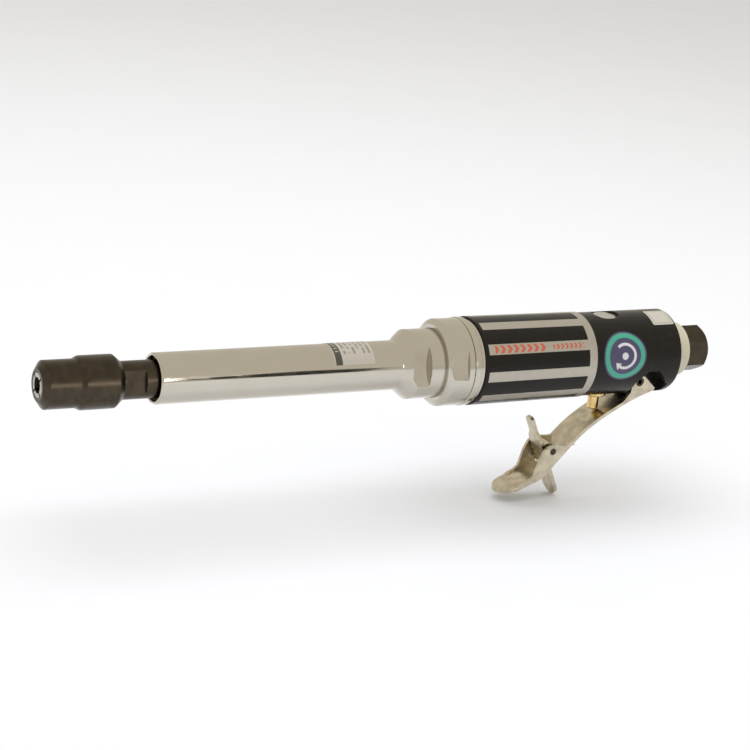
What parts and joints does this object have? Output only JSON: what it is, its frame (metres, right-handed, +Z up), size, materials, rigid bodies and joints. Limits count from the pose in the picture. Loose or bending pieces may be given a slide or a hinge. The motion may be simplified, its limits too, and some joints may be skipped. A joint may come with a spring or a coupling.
{
  "type": "extended pneumatic die grinder",
  "caption": "Long-neck air die grinder: collet chuck on a spindle in a chromed extension tube, vane motor in a round grip, lever throttle with lock-off, threaded air inlet.",
  "frame": {"origin": "on the spindle axis at the mouth of the collet", "axes": "+X along the spindle axis from the collet mouth towards the air inlet, +Z up, away from the throttle lever"},
  "size_m": [0.2927, 0.0356, 0.078],
  "materials": {
    "black_oxide": "black oxide steel, satin with warm reflections",
    "tool_steel": "ground steel",
    "vane_composite": "phenolic cloth laminate",
    "bearing_steel": "polished bearing steel",
    "chrome": "polished chrome plate",
    "black_rubber": "nitrile rubber",
    "striped_sleeve": "satin black with bright aluminium stripes and rear band",
    "black_anodised": "satin black",
    "brass": "turned brass",
    "white_plastic": "moulded seat",
    "satin_silver": "turned, satin",
    "satin_nickel": "warm satin nickel plate on stamped steel",
    "cream_plastic": "cream porous plastic"
  },
  "bodies": {
    "collet_nut": {"collet_nut": "black_oxide"},
    "spindle": {"collet": "tool_steel", "spindle": "black_oxide", "spindle_circlip": "tool_steel", "drive_coupling": "tool_steel", "rotor": "tool_steel", "rotor_vanes": "vane_composite", "front_spindle_inner_race": "bearing_steel", "rear_spindle_inner_race": "bearing_steel", "front_motor_inner_race": "bearing_steel", "rear_motor_inner_race": "bearing_steel"},
    "bearing_balls": {"front_spindle_balls": "bearing_steel", "rear_spindle_balls": "bearing_steel", "front_motor_balls": "bearing_steel", "rear_motor_balls": "bearing_steel"},
    "tool_body": {"extension_tube": "chrome", "bearing_retainer": "black_oxide", "dust_seal": "black_rubber", "front_spindle_outer_race": "bearing_steel", "rear_spindle_outer_race": "bearing_steel", "bearing_spacer": "tool_steel", "clamp_collar": "chrome", "spacer_ring": "chrome", "grip_sleeve": "striped_sleeve", "handle_housing": "black_anodised", "front_end_plate": "tool_steel", "rear_end_plate": "tool_steel", "cylinder_liner": "tool_steel", "front_motor_outer_race": "bearing_steel", "rear_motor_outer_race": "bearing_steel", "locating_pin": "tool_steel", "wave_washer": "tool_steel", "valve_bushing": "brass", "bushing_o_ring": "black_rubber", "valve_seat": "white_plastic", "valve_cap": "satin_silver", "cap_o_ring": "black_rubber", "valve_spring": "tool_steel", "lever_pin": "black_oxide", "silencer_ring": "cream_plastic", "inlet_bushing": "black_oxide", "inlet_screen": "tool_steel"},
    "throttle_pin": {"throttle_pin": "brass", "valve_ball": "bearing_steel"},
    "throttle_lever": {"throttle_lever": "satin_nickel", "lock_pin": "black_oxide", "lock_spring": "tool_steel"},
    "lock_lever": {"lock_lever": "satin_nickel"}
  },
  "joints": [
    {"name": "spindle_spin", "type": "hinge", "parent": "tool_body", "child": "spindle", "pos_m": [0.12, 0, 0], "axis": [1, 0, 0], "continuous": true},
    {"name": "ball_spin", "type": "hinge", "parent": "tool_body", "child": "bearing_balls", "pos_m": [0.12, 0, 0], "axis": [1, 0, 0], "continuous": true},
    {"name": "collet_nut_turn", "type": "hinge", "parent": "spindle", "child": "collet_nut", "pos_m": [0.015, 0, 0], "axis": [1, 0, 0], "range_deg": [-360, 0]},
    {"name": "lever_press", "type": "hinge", "parent": "tool_body", "child": "throttle_lever", "pos_m": [0.2607, 0, -0.0113], "axis": [0, 1, 0], "range_deg": [0, 11], "stiffness_Nm_per_rad": 2.5, "springref_deg": -14.32},
    {"name": "pin_slide", "type": "slide", "parent": "tool_body", "child": "throttle_pin", "axis": [0, 0, 1], "range_m": [0, 0.0045], "deforming": ["valve_spring"]},
    {"name": "lock_fold", "type": "hinge", "parent": "throttle_lever", "child": "lock_lever", "pos_m": [0.222, 0, -0.03925], "axis": [0, 1, 0], "range_deg": [-40, 0]}
  ],
  "couplings": [
    {"joint": "ball_spin", "follows": "spindle_spin", "ratio": 0.3917},
    {"joint": "pin_slide", "follows": "lever_press", "m_per_rad": 0.0215},
    {"joint": "lock_fold", "follows": "lever_press", "ratio": -3.6}
  ]
}
